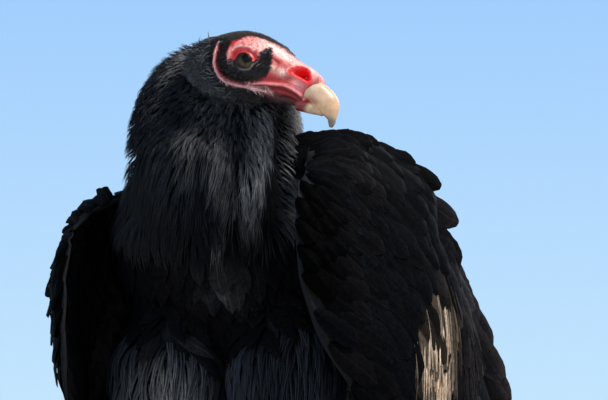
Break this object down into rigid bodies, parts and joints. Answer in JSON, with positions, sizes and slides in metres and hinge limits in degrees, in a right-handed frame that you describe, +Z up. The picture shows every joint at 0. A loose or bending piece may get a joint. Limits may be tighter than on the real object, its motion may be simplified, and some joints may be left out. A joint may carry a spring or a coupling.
{
  "type": "turkey vulture",
  "caption": "Life-size still model of a turkey vulture standing hunched with loose wings and its head turned to its left.",
  "frame": {"origin": "centre of the model's box, on the floor under the toes", "axes": "-Y is where the chest faces, +X is the bird's left, +Z is up; the tail points to +Y"},
  "size_m": [0.2823, 0.458, 0.424],
  "materials": {
    "skin_red": "bare wrinkled skin, satin",
    "feather_black": "silky feathers with a faint blue sheen",
    "feather_brown": "feathers with paler brown worn edges",
    "horn_ivory": "smooth pale horn",
    "eye_brown": "wet and glossy",
    "leg_skin": "dull scaled skin",
    "claw_horn": "worn dark horn"
  },
  "bodies": {
    "root": {"head": "skin_red", "jaw": "skin_red", "belly": "feather_black", "breast": "feather_black", "neck": "feather_black", "neck_ruff": "feather_black", "thigh_l": "feather_black", "thigh_r": "feather_black", "wing_l_scapulars": "feather_black", "wing_l_arm": "feather_black", "wing_l_primaries": "feather_black", "wing_r_scapulars": "feather_black", "wing_r_arm": "feather_black", "wing_r_primaries": "feather_black", "tail": "feather_brown", "tail_coverts": "feather_brown", "wing_l_coverts": "feather_brown", "wing_l_secondaries": "feather_brown", "wing_r_coverts": "feather_brown", "wing_r_secondaries": "feather_brown", "bill_upper": "horn_ivory", "bill_lower": "horn_ivory", "eye_l": "eye_brown", "eye_r": "eye_brown", "shin_l": "leg_skin", "shin_r": "leg_skin", "foot_l": "leg_skin", "foot_r": "leg_skin", "claw_l_inner": "claw_horn", "claw_l_middle": "claw_horn", "claw_l_outer": "claw_horn", "claw_l_hind": "claw_horn", "claw_r_inner": "claw_horn", "claw_r_middle": "claw_horn", "claw_r_outer": "claw_horn", "claw_r_hind": "claw_horn"}
  },
  "joints": []
}
